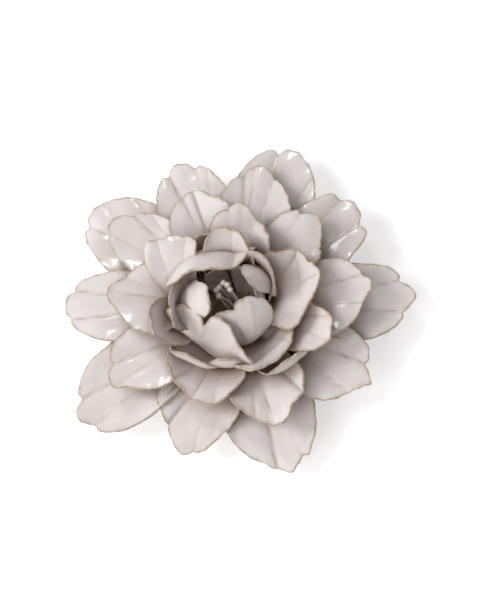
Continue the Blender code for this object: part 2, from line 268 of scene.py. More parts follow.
petals = {
    "bud_petal_1": petal(
        "bud", 122, 14, 36, 12, start=35, end=110, cupTip=70),
    "bud_petal_2": petal(
        "bud", 65, 14, 37, 14, start=35, end=110, cupTip=70),
    "bud_petal_3": petal(
        "bud", 8, 12, 36, 15, start=35, end=110, cupTip=70),
    "bud_petal_4": petal(
        "bud", 94, 10.2, 46, 42, baseRadius=8, belly=0.68, start=8, point=2.8, slide=(2, 8),
        edge=((-1.7, -7), (-1.4, -7), (-1.15, -4.5), (-0.8, 0), (-0.4, 0.2), (0, 0.3), (0.1, 0.4),
              (0.2, 1.2), (0.35, 3.4), (0.6, 5), (0.9, 5), (1.2, 2)),
        notches=((-0.1, 0.8, 1.2), (0.12, 0.6, 1)), folds=((-0.6, 0.88, 98, 2, -55),)),
    "bud_petal_5": petal(
        "bud", 178, 5.5, 45, 27, baseRadius=7, belly=0.84, start=5, fray=0.3, lean=0.35, cupBase=140,
        cupTip=125,
        edge=((-1, -3), (-0.6, -4), (-0.35, -2.5), (-0.1, 0.3), (0.3, 0), (0.6, -3), (1, -4.5), (1.5, -3)),
        notches=((-0.25, 0.6, 1),)),
    "bud_petal_6": petal(
        "bud", 27, 11, 44, 23, end=135, baseRadius=7, belly=0.64, start=12, cupTip=95,
        edge=((-1.1, -5), (-0.7, -5), (-0.45, -4), (-0.25, -0.8), (0, 0), (0.4, 0.8), (0.8, 0.5))),
    "bud_petal_7": petal(
        "bud", -76, 6.5, 44, 29, baseRadius=7, end=140, start=8, belly=0.64, widest=0.95, claw=0.2,
        shoulder=0.8, cupBase=90, cupTip=60, slide=(-1, 4.4),
        edge=((-0.5, -0.5), (-0.2, -1.2), (0, 0.5), (0.3, 1.2), (0.6, 0.4), (0.8, -1), (1, -2.5),
              (1.2, -3.5), (1.5, -3)),
        notches=((-0.12, 1.4, 1.6),), creases=((-0.12, 0.8, 0.35, 1.2, 0.3), (0.3, 0.6, 0.2, 1, 0))),
    "bud_petal_8": petal(
        "bud", -125, 10.7, 41.5, 48, baseRadius=9, baseHeight=13.5, belly=0.76, start=4, end=122,
        cupBase=85, cupTip=-20, slide=(1, 3.4), claw=0.6, widest=0.42, fray=0.4,
        edge=((-1.8, 1), (-1.5, 3), (-1.2, 2.5), (-0.9, 3), (-0.6, 2), (-0.3, -0.8), (-0.15, -2),
              (0, 1.5), (0.2, 0.8), (0.4, -1), (0.65, 0), (0.85, -4), (1.1, -4.5), (1.4, -2)),
        notches=((-0.13, 3, 2), (0.3, 0.8, 1.2), (0.42, 0.7, 1)),
        creases=((-0.13, 0.5, 1.2, 0.9, 0.4), (0.35, 0.4, 0.3, 1, 0.3))),
    "bud_petal_9": petal(
        "bud", 178, 22.5, 43, 20, baseHeight=14, start=20, end=98, belly=0.4, cupTip=25, point=3.4,
        shoulder=0.8, widest=0.9, slide=(0, 3.8), fray=0.3),
    "bud_petal_10": petal(
        "bud", 36, 23, 44, 26, baseHeight=14, start=20, end=80, belly=0.4),
    "bud_petal_11": petal(
        "bud", 88, 29, 42, 28, baseHeight=14, end=25, belly=0.4, fray=0.35,
        edge=((-0.8, -1), (-0.4, -2.8), (-0.18, -1), (-0.08, -0.6), (0, 0.3), (0.15, 0.4), (0.3, -0.5),
              (0.5, -1.2)),
        notches=((-0.07, 1.2, 1.8), (0.12, 0.3, 1)), creases=((-0.07, 0.7, 0.5, 1, 0.4),)),
    "bud_petal_12": petal(
        "bud", 112, 29, 38, 20, baseHeight=13, end=80, belly=0.4),
    "third_petal_1": petal(
        "third", -48, 36, 37, 36, baseHeight=14, start=35, end=50, cupTip=80,
        edge=((-0.9, 0), (-0.7, 0.2), (-0.55, 2.2), (-0.4, 2.8), (-0.3, 2.2), (-0.2, 0.6), (0, -0.3),
              (0.2, -1.2), (0.35, -3), (0.5, -4.5), (0.8, -5), (1.1, -4)),
        notches=((-0.2, 0.7, 1.2),), creases=((0.25, 0.8, 0.3, 1.2, 0.2), (-0.35, 0.7, 0.3, 1.4, 0)),
        folds=((0, 0.5, 0, 1.6, -22), (0, 0.6, 0, 1.6, 26))),
    "third_petal_2": petal(
        "third", 90, 27, 40, 24, baseRadius=0, end=-5, start=70, point=3, shoulder=0.84, widest=0.95,
        claw=0.15, curl=-0.3, cupTip=20, slide=(15, 24),
        edge=((-1.7, -3), (-1.4, -5), (-1.15, -2), (-1, 0), (-0.6, 0.3), (0, 0.4), (0.4, -0.4), (0.8, 0),
              (1.2, 1), (1.5, 1)),
        notches=((0.17, 0.9, 1.6), (-0.35, 0.5, 1.2)),
        creases=((0.35, 0.6, 0.5, 1.1, 0.3), (-0.45, 0.5, 0.4, 0.9, 0.2)),
        folds=((0.8, 0.5, -84, 2.5, -60),)),
    "third_petal_3": petal(
        "third", 82, 42, 34, 28, end=10, curl=-0.8,
        edge=((-1.2, 1.5), (-1, 2.4), (-0.8, 0.8), (-0.6, -1.4), (-0.45, -3), (-0.32, -4), (-0.2, -3),
              (-0.08, -0.8), (0.05, 0.3), (0.2, -0.3), (0.3, -1), (0.4, 0), (0.8, 0)),
        notches=((0.25, 0.9, 1.4), (-0.3, 0.8, 1.4)),
        creases=((-0.28, 0.8, 0.6, 1.2, 0.5), (0.02, 0.6, 0.25, 1.2, 0))),
    "third_petal_4": petal(
        "third", 8, 43, 39.5, 32, end=25,
        edge=((-1.3, 1), (-1, 3), (-0.8, 1.5), (-0.65, -1.4), (-0.45, -3.6), (-0.25, -2.4), (-0.1, 0),
              (0, 1.8), (0.1, 1.8), (0.2, 0), (0.32, -2.2), (0.45, -1.6), (0.6, -0.6), (0.9, 0), (1.1, 3),
              (1.35, 4), (1.6, 3)),
        notches=((0.3, 0.9, 1.6),), creases=((0.05, 0.5, 0.35, 1.1, 0.2), (0.62, 0.8, 0.9, 1.3, -0.8)),
        folds=((0, 0.44, 6, 3, -26), (0, 0.62, 6, 2, 34))),
    "third_petal_5": petal(
        "third", -92, 26.5, 35, 21, end=100, start=0, belly=0.55, cupBase=60, cupTip=15, fray=0.3,
        edge=((-0.6, 0.3), (0, 0.4), (0.5, -0.3)),
        notches=((0.35, 0.6, 1), (-0.15, 0.4, 0.9)), creases=((0.35, 0.4, 0.2, 0.7, 0.1),)),
    "third_petal_6": petal(
        "third", -114, 29, 35, 28, end=98, cupTip=35, belly=0.55, slide=(-2, -6), start=0, fray=0.3,
        notches=((-0.35, 0.9, 1.4), (0.3, 0.5, 1)), creases=((-0.35, 0.5, 0.3, 1, 0.3),)),
    "third_petal_7": petal(
        "third", -172, 34, 36, 25, end=80, start=8, belly=0.48, slide=(0, 2.5),
        edge=((0.1, 0), (0.3, 1.8), (0.5, 0.5)),
        notches=((0.05, 0.9, 1.3),)),
    "third_petal_8": petal(
        "third", -22, 46, 32, 24, claw=0.1, widest=0.8, cupBase=40, baseHeight=11, start=45,
        edge=((-1.6, -5), (-1.25, -3.5), (-1, 0.5), (-0.7, 1), (-0.4, 1.6), (-0.2, 0.6), (-0.08, 1),
              (0.1, 0.2), (0.3, 1.2), (0.45, 0.6), (0.6, -1.2), (0.8, -1.2)),
        notches=((-0.02, 0.6, 1), (0.56, 0.6, 1.4)),
        creases=((0.3, 0.8, 0.35, 1.1, 0.2), (-0.1, 0.7, 0.25, 1, 0))),
    "third_petal_9": petal(
        "third", -56, 37, 34, 29, baseHeight=11, start=8, end=100, belly=0.5, slide=(2, 6.5), fray=0.3,
        edge=((-0.4, 0.4), (0.2, 0), (0.6, 0.6)),
        notches=((0.25, 1, 1.6), (-0.3, 0.5, 1)), creases=((0.25, 0.5, 0.35, 1, 0.3),)),
    "third_petal_10": petal(
        "third", -69, 56, 25, 33.5, claw=0.1, widest=0.7, cupBase=45, baseHeight=11.5, start=20, end=22,
        cupTip=78, fray=0.3,
        edge=((-1.4, -4), (-1.1, -1), (-0.85, 0.8), (-0.65, -1), (-0.5, -2.6), (-0.35, -3), (-0.2, -2.2),
              (-0.1, -0.8), (0, 0.2), (0.1, 0), (0.2, -1.6), (0.3, -2.4), (0.4, -1.5), (0.6, 0.4),
              (0.8, 2), (1, 1.5)),
        notches=((0.26, 1, 1.4), (-0.3, 0.7, 1.2)),
        creases=((-0.1, 1.1, 0.8, 2.2, 0), (0.5, 0.9, 0.9, 1.2, 0.5), (-0.35, 0.6, 0.3, 1, 0.2))),
    "third_petal_11": petal(
        "third", -113, 44.5, 26.5, 37, claw=0.15, cupBase=60, baseHeight=11.5, start=22, end=42,
        cupTip=88, fray=0.3,
        edge=((-1, 2), (-0.8, 2.2), (-0.6, 0), (-0.4, -2.3), (-0.2, -2.6), (0, -1.4), (0.15, -0.6),
              (0.3, 1.3), (0.45, 0.9), (0.6, 0), (1, 0), (1.3, -3), (1.6, -4)),
        notches=((-0.25, 0.8, 1.2), (0.12, 0.5, 1)),
        creases=((-0.05, 1.1, 0.9, 2, 0), (-0.45, 0.7, 0.5, 1, 0.3), (0.3, 0.6, 0.25, 1.4, 0))),
    "second_petal_1": petal(
        "second", 2, 59, 25, 35,
        edge=((-1.1, 1.8), (-0.8, 2.2), (-0.6, 0.6), (-0.45, -1), (-0.3, -2.2), (-0.18, -3), (-0.08, -2),
              (0.04, 0.4), (0.12, 1.2), (0.25, -0.8), (0.4, -0.4), (0.6, 0), (0.8, -2.4), (1, -2.2)),
        notches=((0.24, 1, 1.6), (-0.15, 0.8, 1.2)),
        creases=((0.24, 0.85, 0.45, 1.2, 0.2), (-0.16, 0.75, 0.4, 1, 0.3))),
    "second_petal_2": petal(
        "second", 44, 50, 26, 28, point=3, curl=-0.8,
        edge=((-0.9, 1), (-0.7, 1.6), (-0.6, 0), (-0.48, -2.6), (-0.35, -3), (-0.2, -1.5), (-0.1, 0.8),
              (0, 2.2), (0.1, 1.1), (0.22, -0.8), (0.3, -0.6), (0.4, -0.4), (0.6, 0), (0.8, -0.5)),
        notches=((0.23, 1.1, 1.6), (-0.62, 0.5, 1.2)),
        creases=((0.23, 0.5, 0.25, 1.4, 0.2), (-0.4, 0.7, 0.3, 1.6, 0.2))),
    "second_petal_3": petal(
        "second", 79, 63, 21, 33, point=2, curl=-0.8,
        edge=((-1.05, 1), (-0.8, 1.8), (-0.6, 0.6), (-0.45, -0.4), (-0.3, -1.3), (-0.2, -2), (-0.12, -1),
              (-0.02, 0.9), (0.06, 1.4), (0.15, 0.8), (0.26, -1), (0.33, 0), (0.45, 0.9), (0.6, 0.4),
              (0.9, 0)),
        notches=((0.26, 1.1, 2), (-0.2, 0.8, 1.4)),
        creases=((0.1, 0.8, 0.45, 1, 0.3), (-0.2, 0.75, 0.55, 1, 0.4), (0.26, 0.7, 0.35, 1.6, -0.3))),
    "second_petal_4": petal(
        "second", 111, 54, 28, 29, curl=-0.8,
        edge=((-0.9, 1.5), (-0.7, 2.2), (-0.55, 0.8), (-0.42, -0.9), (-0.32, -1.4), (-0.22, -0.2),
              (-0.12, 0.5), (0, 0.6), (0.12, -0.4), (0.2, 0), (0.4, -0.3), (0.6, 0)),
        notches=((0.13, 1, 1.6), (-0.33, 0.4, 1.2)),
        creases=((-0.05, 0.95, 0.7, 1.1, -0.5), (0.13, 0.5, 0.3, 1.4, -0.3))),
    "second_petal_5": petal(
        "second", 142, 67, 24, 29, curl=-0.6,
        edge=((-0.8, -0.5), (-0.6, 0), (-0.4, -1.2), (-0.27, -1.6), (-0.2, -2), (-0.12, -0.4), (0, 1.4),
              (0.1, 2.2), (0.2, 1), (0.3, 1.4), (0.5, 0.5), (0.8, 0.4)),
        notches=((-0.2, 1.8, 2.2), (0.2, 0.9, 1.4)),
        creases=((-0.45, 0.5, 0.5, 0.9, 0.3), (-0.2, 0.55, 0.4, 1.1, -0.3), (0.2, 0.6, 0.2, 1.2, 0))),
    "second_petal_6": petal(
        "second", 173, 55, 28, 33, point=2,
        edge=((-1, 0), (-0.75, 0), (-0.6, -0.8), (-0.45, -2.2), (-0.3, -2.6), (-0.2, -1.2), (-0.1, 0.4),
              (0, 0.4), (0.1, -0.8), (0.22, -2.4), (0.36, -3), (0.5, -1.8), (0.7, 0), (0.9, 1.4),
              (1.1, 1), (1.35, -4), (1.7, -5)),
        notches=((-0.3, 0.9, 1.6), (0.2, 0.7, 1)),
        creases=((-0.06, 0.85, 0.7, 1, 0.4), (-0.3, 0.6, 0.3, 1.2, 0.2))),
    "second_petal_7": petal(
        "second", -151, 60, 22, 31, start=28,
        edge=((-0.8, 1.5), (-0.62, 2.4), (-0.5, 2.9), (-0.35, 1.8), (-0.2, 0.2), (-0.1, 1.8), (0.02, 2.4),
              (0.12, 2.4), (0.2, -0.8), (0.35, -1.5), (0.6, -0.4), (0.8, 0), (1, -2.5), (1.3, -4),
              (1.6, -3)),
        notches=((-0.2, 1.6, 2.2), (0.19, 0.9, 1.4)),
        creases=((-0.2, 0.95, 0.8, 1.5, -0.4), (0.1, 0.6, 0.35, 1, 0))),
    "outer_petal_1": petal(
        "outer", 39, 66, 16, 32, baseHeight=9, point=3, curl=-0.7,
        edge=((-1.2, 0), (-0.8, 1.4), (-0.6, 0), (-0.36, 0.6), (-0.2, -1.2), (-0.08, 1), (0.06, 2),
              (0.24, -0.3), (0.38, 1.2), (0.6, 0), (0.8, 0)),
        notches=((0.23, 0.9, 2), (-0.2, 1.5, 2.4), (-0.05, 0.4, 1)),
        creases=((-0.21, 0.8, 0.55, 1.1, 0.5), (0.23, 0.6, 0.3, 1.2, 0))),
    "outer_petal_2": petal(
        "outer", 112, 72, 16, 33, baseHeight=9, curl=-0.8,
        edge=((-0.9, 1), (-0.6, 0.4), (-0.4, 0.6), (-0.3, 0.5), (-0.2, -0.6), (-0.1, 1), (0, 1.7),
              (0.1, 1.2), (0.17, -0.3), (0.28, 1.5), (0.45, 1.4), (0.65, 0.6), (0.9, 0)),
        notches=((-0.2, 1, 2.2), (0.17, 0.9, 1.8)),
        creases=((-0.38, 0.6, 0.45, 0.9, 0.3), (0.17, 0.8, 0.5, 1.8, -0.4), (-0.2, 0.4, 0.25, 1.2, 0))),
    "outer_petal_3": petal(
        "outer", 175, 78, 15, 32, baseHeight=9,
        edge=((-1, -0.5), (-0.6, -0.4), (-0.35, 0), (-0.2, -0.8), (-0.1, 0.2), (0, 0.3), (0.1, 0),
              (0.18, -0.8), (0.28, 0.1), (0.45, 0.4), (0.65, 1.4), (0.9, 1.8), (1.1, 1)),
        notches=((-0.18, 1.3, 2), (0.18, 1.1, 1.8)),
        creases=((-0.2, 0.65, 0.5, 1, 0.4), (0.02, 0.4, 0.3, 0.8, 0), (0.2, 0.75, 0.45, 1.1, -0.4))),
    "outer_petal_4": petal(
        "outer", -112, 66, 14, 37, baseHeight=8, start=24, point=1.7,
        edge=((-1, 1), (-0.8, 1.2), (-0.6, -1), (-0.4, -2.3), (-0.25, -1.4), (-0.1, -0.4), (0, 0.1),
              (0.2, 0), (0.35, -0.2), (0.5, -1), (0.65, -1.2), (0.8, -0.6)),
        notches=((-0.42, 0.9, 1.5), (0.15, 1.7, 1.6)),
        creases=((-0.42, 0.75, 0.9, 1.8, 0.6), (0.15, 0.5, 0.3, 1, 0))),
    "outer_petal_5": petal(
        "outer", -32, 65, 16, 34, claw=0.12, cupBase=40, start=28, baseHeight=8, point=2.8,
        edge=((-1.7, -5), (-1.35, -3), (-1.1, 1.5), (-0.85, 1.8), (-0.65, 0), (-0.5, -1.6), (-0.35, -3),
              (-0.2, -2.4), (-0.1, -0.8), (0, 2), (0.1, -0.8), (0.2, -3), (0.3, -2.2), (0.45, -0.8),
              (0.6, -1), (0.8, -0.8), (1.2, -3), (1.7, -4)),
        notches=((0.2, 1, 2), (-0.27, 0.8, 1.2), (-0.06, 0.4, 1)),
        creases=((0.2, 0.8, 0.4, 1.3, 0.3), (-0.25, 0.8, 0.4, 1.2, -0.3))),
    "outer_petal_6": petal(
        "outer", 73, 75, 12, 38, point=2.8, curl=-0.8,
        edge=((-0.8, 0), (-0.6, -1.6), (-0.42, -2.4), (-0.25, -1.4), (-0.12, 0.6), (0, 1.2), (0.1, -0.6),
              (0.22, 0.4), (0.35, -0.4), (0.6, -1), (0.8, 0)),
        notches=((0.1, 1.6, 2.2), (-0.25, 0.7, 1.8)),
        creases=((0.1, 0.75, 0.5, 1.8, 0.3), (-0.45, 0.7, 0.35, 1.2, -0.2))),
    "outer_petal_7": petal(
        "outer", 143, 84, 11, 38, curl=-0.6,
        edge=((-0.8, -0.6), (-0.5, -0.4), (-0.25, 0), (0, 1.2), (0.1, 1), (0.17, 0), (0.28, 1.4),
              (0.36, 1.4), (0.5, -0.3), (0.7, -0.4), (0.9, 0)),
        notches=((0.17, 1.2, 2), (-0.32, 0.5, 1.5), (-0.1, 0.5, 1.5)),
        creases=((-0.5, 0.45, 0.5, 0.9, 0.4), (0.17, 0.7, 0.4, 1.2, -0.3), (-0.1, 0.3, 0.2, 1, 0))),
    "outer_petal_8": petal(
        "outer", -149, 82, 10, 39, lean=0.1,
        edge=((-0.9, 0), (-0.65, 1.4), (-0.4, 1), (-0.28, 0.6), (-0.19, -0.6), (-0.1, 2), (0.02, 2.2),
              (0.1, -0.2), (0.17, -1.4), (0.25, 0), (0.5, 0.2), (0.8, -0.4)),
        notches=((-0.19, 1.2, 2), (0.16, 1.1, 2)),
        creases=((-0.19, 0.6, 0.4, 1.4, 0.3), (0.16, 0.8, 0.3, 1.5, 0))),
    "outer_petal_9": petal(
        "outer", -74, 73, 10, 40, start=22, point=1.9, lean=0.2,
        edge=((-0.8, 0), (-0.6, -1), (-0.45, -1), (-0.3, -1.8), (-0.2, -0.8), (-0.1, -0.7), (0.02, 0.7),
              (0.1, -1.2), (0.2, -2.4), (0.3, -1), (0.4, -1.4), (0.6, -0.3), (1, 0)),
        notches=((0.22, 1, 1.8), (0.1, 0.6, 1.2), (-0.28, 0.6, 1.2)),
        creases=((-0.15, 0.9, 0.8, 2.4, 0.3), (0.2, 0.4, 0.2, 1, 0))),
    "outer_petal_10": petal(
        "outer", 1, 76, 12, 36, start=26, point=1.8,
        edge=((-1, 0.5), (-0.7, 1.3), (-0.5, 0.6), (-0.32, -0.6), (-0.2, -2.4), (-0.1, -1.8), (0.03, 0.4),
              (0.15, 0), (0.27, -1), (0.38, 0.8), (0.5, 2), (0.62, 0.9), (0.8, -1.2), (1, -1.4)),
        notches=((0.27, 1.2, 2), (-0.17, 0.7, 1.5)),
        creases=((0.27, 0.5, 0.45, 1, 0.3), (-0.17, 0.7, 0.35, 1.2, 0.2))),
}


def middleLine(shape, t):
    # radius, height and climb at t along the petal's middle line, a cubic curve from the base to the tip
    foot = Vector((shape["baseRadius"], shape["baseHeight"]))
    tip = Vector((shape["reach"], shape["rise"]))
    handle = shape["belly"] * (tip - foot).length
    start, end = math.radians(shape["start"]), math.radians(shape["end"])
    b = foot + handle * Vector((math.cos(start), math.sin(start)))
    c = tip - handle * Vector((math.cos(end), math.sin(end)))
    s = 1 - t
    at = s**3 * foot + 3 * s * s * t * b + 3 * s * t * t * c + t**3 * tip
    along = 3 * s * s * (b - foot) + 6 * s * t * (c - b) + 3 * t * t * (tip - c)
    return at.x, at.y, math.atan2(along.y, along.x)


def halfWidth(shape, t):
    opening = math.sin(0.5 * math.pi * min(1, max(0, t) / shape["widest"]))
    return 0.5 * shape["width"] * (shape["claw"] + (1 - shape["claw"]) * opening)


def bentPoint(shape, x, y):
    # where a point of the flat petal, x across and y along in millimetres, lies once the petal is bent
    t = y / shape["length"]
    radius, height, climb = middleLine(shape, t)
    half = halfWidth(shape, t)
    bend = math.radians(shape["cupBase"] + (shape["cupTip"] - shape["cupBase"]) * t)
    turn = 0.5 * bend * x / half
    sideways = half * math.sin(turn) / (0.5 * bend)
    inward = half * (1 - math.cos(turn)) / (0.5 * bend)
    slide = shape["slide"][1] + (shape["slide"][0] - shape["slide"][1]) * (1 - t) ** 2
    return Vector((radius - inward * math.sin(climb), sideways + slide, height + inward * math.cos(climb)))


def liftedPoint(shape, x, y, lift):
    # the same point, raised off the petal's upper face
    step = 0.05
    at = bentPoint(shape, x, y)
    normal = (bentPoint(shape, x, y + step) - at).cross(bentPoint(shape, x + step, y) - at)
    return at + normal.normalized() * lift


def tipShare(shape, across):
    # how much of the petal's length is left at this place across it
    lean, power = shape["lean"], shape["point"]
    aside = (across - lean) / (1 - lean if across > lean else 1 + lean)
    drop = 1 - (1 - min(1, abs(aside)) ** power) ** (1 / power)
    return 1 - (1 - shape["shoulder"]) * drop


def flatPoint(shape, across, along):
    t = along * tipShare(shape, across)
    return Vector((halfWidth(shape, t) * across, shape["length"] * t))


def measure(shape):
    # the middle line's length, and the places across the petal that lie evenly spaced round its tip
    spots = [Vector(middleLine(shape, i / 40)[:2]) for i in range(41)]
    shape["length"] = sum((b - a).length for a, b in zip(spots, spots[1:]))
    places = [math.sin(math.pi * (i / 300 - 0.5)) for i in range(301)]
    rim = [flatPoint(shape, across, 1) for across in places]
    walked = [0]
    for a, b in zip(rim, rim[1:]):
        walked.append(walked[-1] + (b - a).length)
    shape["places"] = places
    shape["walked"] = [2 * w / walked[-1] - 1 for w in walked]


def acrossAt(shape, u):
    # u runs evenly round the tip, -1 at the right shoulder and 1 at the left one
    walked, places = shape["walked"], shape["places"]
    i = min(len(walked) - 1, max(1, bisect(walked, u)))
    share = (u - walked[i - 1]) / (walked[i] - walked[i - 1])
    return places[i - 1] + share * (places[i] - places[i - 1])


def rimPoint(shape, u):
    # past 1 or -1 it runs down the petal's side, and 2 is the base
    if abs(u) <= 1:
        return flatPoint(shape, acrossAt(shape, u), 1)
    t = shape["shoulder"] * (2 - abs(u))
    return Vector((math.copysign(halfWidth(shape, t), u), shape["length"] * t))


def aimedAt(shape, rim, aim):
    return Vector((aim[0] * rim.x, aim[1] * shape["length"]))


def inwardAt(shape, rim):
    return (aimedAt(shape, rim, cutAim) - rim).normalized()


def eased(pairs, u, fade=0.35):
    # a value that eases from one of the given places to the next, and fades to nothing past the ends
    if u <= pairs[0][0] or u >= pairs[-1][0]:
        place, value = pairs[0] if u <= pairs[0][0] else pairs[-1]
        return value * max(0, 1 - abs(u - place) / fade)
    i = next(i for i, pair in enumerate(pairs) if pair[0] > u)
    (low, first), (high, second) = pairs[i - 1], pairs[i]
    share = (u - low) / (high - low)
    return first + (second - first) * share * share * (3 - 2 * share)


def cutRim(shape, point, u, toRim):
    # moves the rim out and in as its edge says, then cuts each notch; u is the nearest place round the rim
    moved = point.copy()
    band = petalMake["edgeBand"]
    if toRim < band:
        spot = Vector((u * petalMake["frayScale"], shape["azimuth"], petalMake["fraySlice"]))
        stand = eased(shape["edge"], u) + 2 * shape["fray"] * noise.noise(spot)
        moved -= stand * (1 - toRim / band) ** 2 * inwardAt(shape, rimPoint(shape, u))
    for place, depth, width in shape["notches"]:
        rim = rimPoint(shape, place)
        inward = inwardAt(shape, rim)
        offset = point - rim
        aside = abs(offset.x * inward.y - offset.y * inward.x) / width
        deep = max(0, offset.dot(inward)) / (notchMake["reach"] * depth + width)
        if aside < 1 and deep < 1:
            moved += depth * (1 - aside) ** notchMake["taper"] * (1 - deep) ** 2 * inward
    return moved


def creaseLift(shape, crease, point):
    # a valley pressed from the rim towards the base, one lip a little higher than the other, and its mark
    u, reach, depth, width, step = crease
    rim = rimPoint(shape, u)
    base = aimedAt(shape, rim, creaseAim)
    run = (base - rim).length
    inward = (base - rim) / run
    offset = point - rim
    aside = offset.x * inward.y - offset.y * inward.x
    share = offset.dot(inward) / run / reach
    if share > 1:
        return 0, 0
    look = creaseLook
    fade = 1 - max(0, share) ** 2
    valley = look["narrow"] * math.exp(-(aside / width) ** 2)
    valley += look["broad"] * math.exp(-(aside / (look["spread"] * width)) ** 2)
    line = math.exp(-(aside / look["line"]) ** 2)
    lip = look["lip"] * step * math.copysign(1, aside) * (1 - line) * math.exp(-abs(aside) / look["lipReach"])
    return fade * (lip - depth * valley), fade * min(1, depth / look["fullDepth"]) * line


def foldOver(shape, fold, point, lift):
    # bends what lies beyond a line: where it crosses, its direction, how tightly, how far and which way
    across, along, direction, radius, angle = fold
    anchor = Vector((across * 0.5 * shape["width"], along * shape["length"]))
    heading = math.radians(direction)
    out = Vector((-math.sin(heading), math.cos(heading)))
    beyond = (point - anchor).dot(out)
    if beyond <= 0:
        return point, lift
    most = math.radians(abs(angle))
    turned = min(beyond / radius, most)
    rest = beyond - radius * turned
    reach = radius * math.sin(turned) + rest * math.cos(turned)
    rise = radius * (1 - math.cos(turned)) + rest * math.sin(turned)
    return point + out * (reach - beyond), lift * math.cos(turned) + math.copysign(rise, angle)


def sheetLift(shape, seed, point, toRim):
    # the hand-made unevenness: slow waves, a ruffled rim, the curl of the rim, and fine veins
    look = unevenness
    x, y = point
    lift = look["wave"] * noise.noise(Vector((x / look["waveSize"][0], y / look["waveSize"][1], seed)))
    size = look["ruffleSize"]
    ruffled = look["ruffle"] * noise.noise(Vector((x / size, y / size, seed + look["ruffleSeed"])))
    lift += max(0, 1 - toRim / look["rimBand"]) ** 1.5 * (ruffled + shape["curl"])
    t = min(1, max(0, y / shape["length"]))
    depth = look["veinDepth"] * max(0, min(1, look["veinGrowth"] * t - look["veinStart"]))
    for i in range(look["veins"]):
        spread = look["veinSpread"] * (2 * (i + 0.5) / look["veins"] - 1)
        rim = rimPoint(shape, spread + look["veinWander"] * math.sin(7.3 * i + seed))
        aside = x - rim.x * (look["veinFan"] + (1 - look["veinFan"]) * t)
        lift -= depth * math.exp(-(aside / look["veinWidth"]) ** 2)
    return lift


def flatSheet():
    # the square grid that each petal starts from, with its map and the values that its glaze and its painted
    # shade follow
    sheet = bmesh.new()
    uvLayer = sheet.loops.layers.uv.new("UVMap")
    bmesh.ops.create_grid(sheet, x_segments=petalMake["columns"], y_segments=petalMake["rows"], size=1)
    for face in sheet.faces:
        for loop in face.loops:
            loop[uvLayer].uv = (0.5 + 0.5 * loop.vert.co.x, 0.5 + 0.5 * loop.vert.co.y)
    for name in ("rimDistance", "crease", "paintedRecessShade", "below"):
        sheet.verts.layers.float.new(name)
    return sheet


def cutOut(sheet, shape):
    # where each point of the grid lies on the flat petal, once its rim is cut
    places = [i / 100 for i in range(-190, 191)]
    rim = kdtree.KDTree(len(places))
    for i, u in enumerate(places):
        rim.insert((*rimPoint(shape, u), 0), i)
    rim.balance()
    flat = {}
    for vert in sheet.verts:
        onTip = vert.co.y > petalMake["gridEnd"]
        along = 1 - (0.5 - 0.5 * vert.co.y) ** petalMake["crowding"]
        point = flatPoint(shape, acrossAt(shape, vert.co.x), along)
        _, nearest, distance = rim.find((*point, 0))
        u = vert.co.x if onTip else places[nearest]
        flat[vert] = cutRim(shape, point, u, 0 if onTip else distance)
    return flat


def rimTree(sheet, flat, pieces=6):
    # points along the cut rim, but not along the base, to measure from
    rim = [edge for edge in sheet.edges
           if edge.is_boundary and any(vert.co.y > -petalMake["gridEnd"] for vert in edge.verts)]
    tree = kdtree.KDTree(len(rim) * pieces)
    for i, edge in enumerate(rim):
        a, b = (flat[vert] for vert in edge.verts)
        for j in range(pieces):
            tree.insert((*a.lerp(b, j / pieces), 0), i * pieces + j)
    tree.balance()
    return tree


def petalSheet(name, seed):
    shape = petals[name]
    measure(shape)
    sheet = flatSheet()
    layers = sheet.verts.layers.float
    toRim, creased, paintedDark = layers["rimDistance"], layers["crease"], layers["paintedRecessShade"]
    flat = cutOut(sheet, shape)
    rim = rimTree(sheet, flat)
    for vert in sheet.verts:
        point = flat[vert]
        vert[toRim] = rim.find((*point, 0))[2]
        lift = sheetLift(shape, seed, point, vert[toRim])
        for crease in shape["creases"]:
            more, mark = creaseLift(shape, crease, point)
            lift += more
            vert[creased] = max(vert[creased], mark)
        # painted shade, darker towards the petal's base
        towardsBase = max(0, 1 - point.y / (paintedShadeLook["baseReach"] * shape["length"]))
        vert[paintedDark] = paintedShadeLook["base"] * towardsBase ** paintedShadeLook["basePower"]
        for fold in shape["folds"]:
            point, lift = foldOver(shape, fold, point, lift)
        vert.co = liftedPoint(shape, point.x, point.y, lift) * mm
    bmesh.ops.reverse_faces(sheet, faces=sheet.faces)
    bmesh.ops.rotate(sheet, verts=sheet.verts, cent=(0, 0, 0),
                     matrix=Matrix.Rotation(math.radians(shape["azimuth"]), 3, "Z"))
    return sheet


def thicken(sheet):
    # gives the sheet an upper and an under face and joins them round the edge
    toRim, below = sheet.verts.layers.float["rimDistance"], sheet.verts.layers.float["below"]
    uvLayer = sheet.loops.layers.uv["UVMap"]
    sheet.normal_update()
    offsets = {}
    for vert in sheet.verts:
        thinned = (1 - petalMake["rimShare"]) * max(0, 1 - vert[toRim] / petalMake["thinning"])
        offsets[vert] = vert.normal * (0.5 * petalMake["clay"] * mm * (1 - thinned))
    twins = bmesh.ops.duplicate(sheet, geom=sheet.verts[:] + sheet.edges[:] + sheet.faces[:])
    spot = {loop.vert: loop[uvLayer].uv.copy() for face in sheet.faces for loop in face.loops}
    for vert, offset in offsets.items():
        twin = twins["vert_map"][vert]
        vert.co += offset
        twin.co -= offset
        twin[below] = 1
    under = [part for part in twins["geom"] if isinstance(part, bmesh.types.BMFace)]
    bmesh.ops.reverse_faces(sheet, faces=under)
    outlines = [edge for edge in sheet.edges if edge.is_boundary]
    for strip in bmesh.ops.bridge_loops(sheet, edges=outlines)["faces"]:
        for loop in strip.loops:
            loop[uvLayer].uv = spot[loop.vert]


